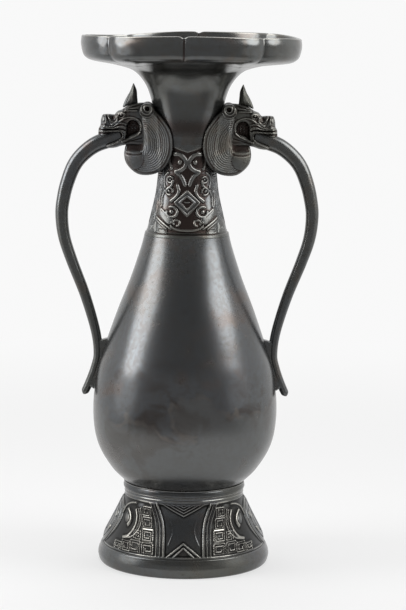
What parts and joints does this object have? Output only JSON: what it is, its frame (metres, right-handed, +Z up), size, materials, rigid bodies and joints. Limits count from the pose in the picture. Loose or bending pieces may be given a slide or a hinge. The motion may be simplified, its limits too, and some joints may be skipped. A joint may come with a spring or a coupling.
{
  "type": "baluster vase",
  "caption": "Cast bronze baluster vase with a lobed dish mouth, slim neck, pear-shaped belly on a flared foot, and dragon-head loop handles; stands free and holds flowers.",
  "frame": {"origin": "centre of the foot ring's resting plane", "axes": "+Z up along the vase's axis, handles along X, front towards -Y"},
  "size_m": [0.164, 0.1342, 0.3313],
  "materials": {
    "dark_bronze": "near-black patinated bronze with a soft sheen",
    "carved_bronze": "dark bronze with olive-grey patina in the carving and worn high spots"
  },
  "bodies": {
    "root": {"foot": "carved_bronze", "collar_ring": "dark_bronze", "base_plate": "dark_bronze", "belly": "dark_bronze", "neck": "carved_bronze", "mouth": "dark_bronze", "right_handle": "dark_bronze", "right_head": "carved_bronze", "right_horn": "carved_bronze", "right_front_mane": "carved_bronze", "right_back_mane": "carved_bronze", "right_neck_tenon": "dark_bronze", "right_belly_tenon": "dark_bronze", "left_handle": "dark_bronze", "left_head": "carved_bronze", "left_horn": "carved_bronze", "left_front_mane": "carved_bronze", "left_back_mane": "carved_bronze", "left_neck_tenon": "dark_bronze", "left_belly_tenon": "dark_bronze"}
  },
  "joints": []
}
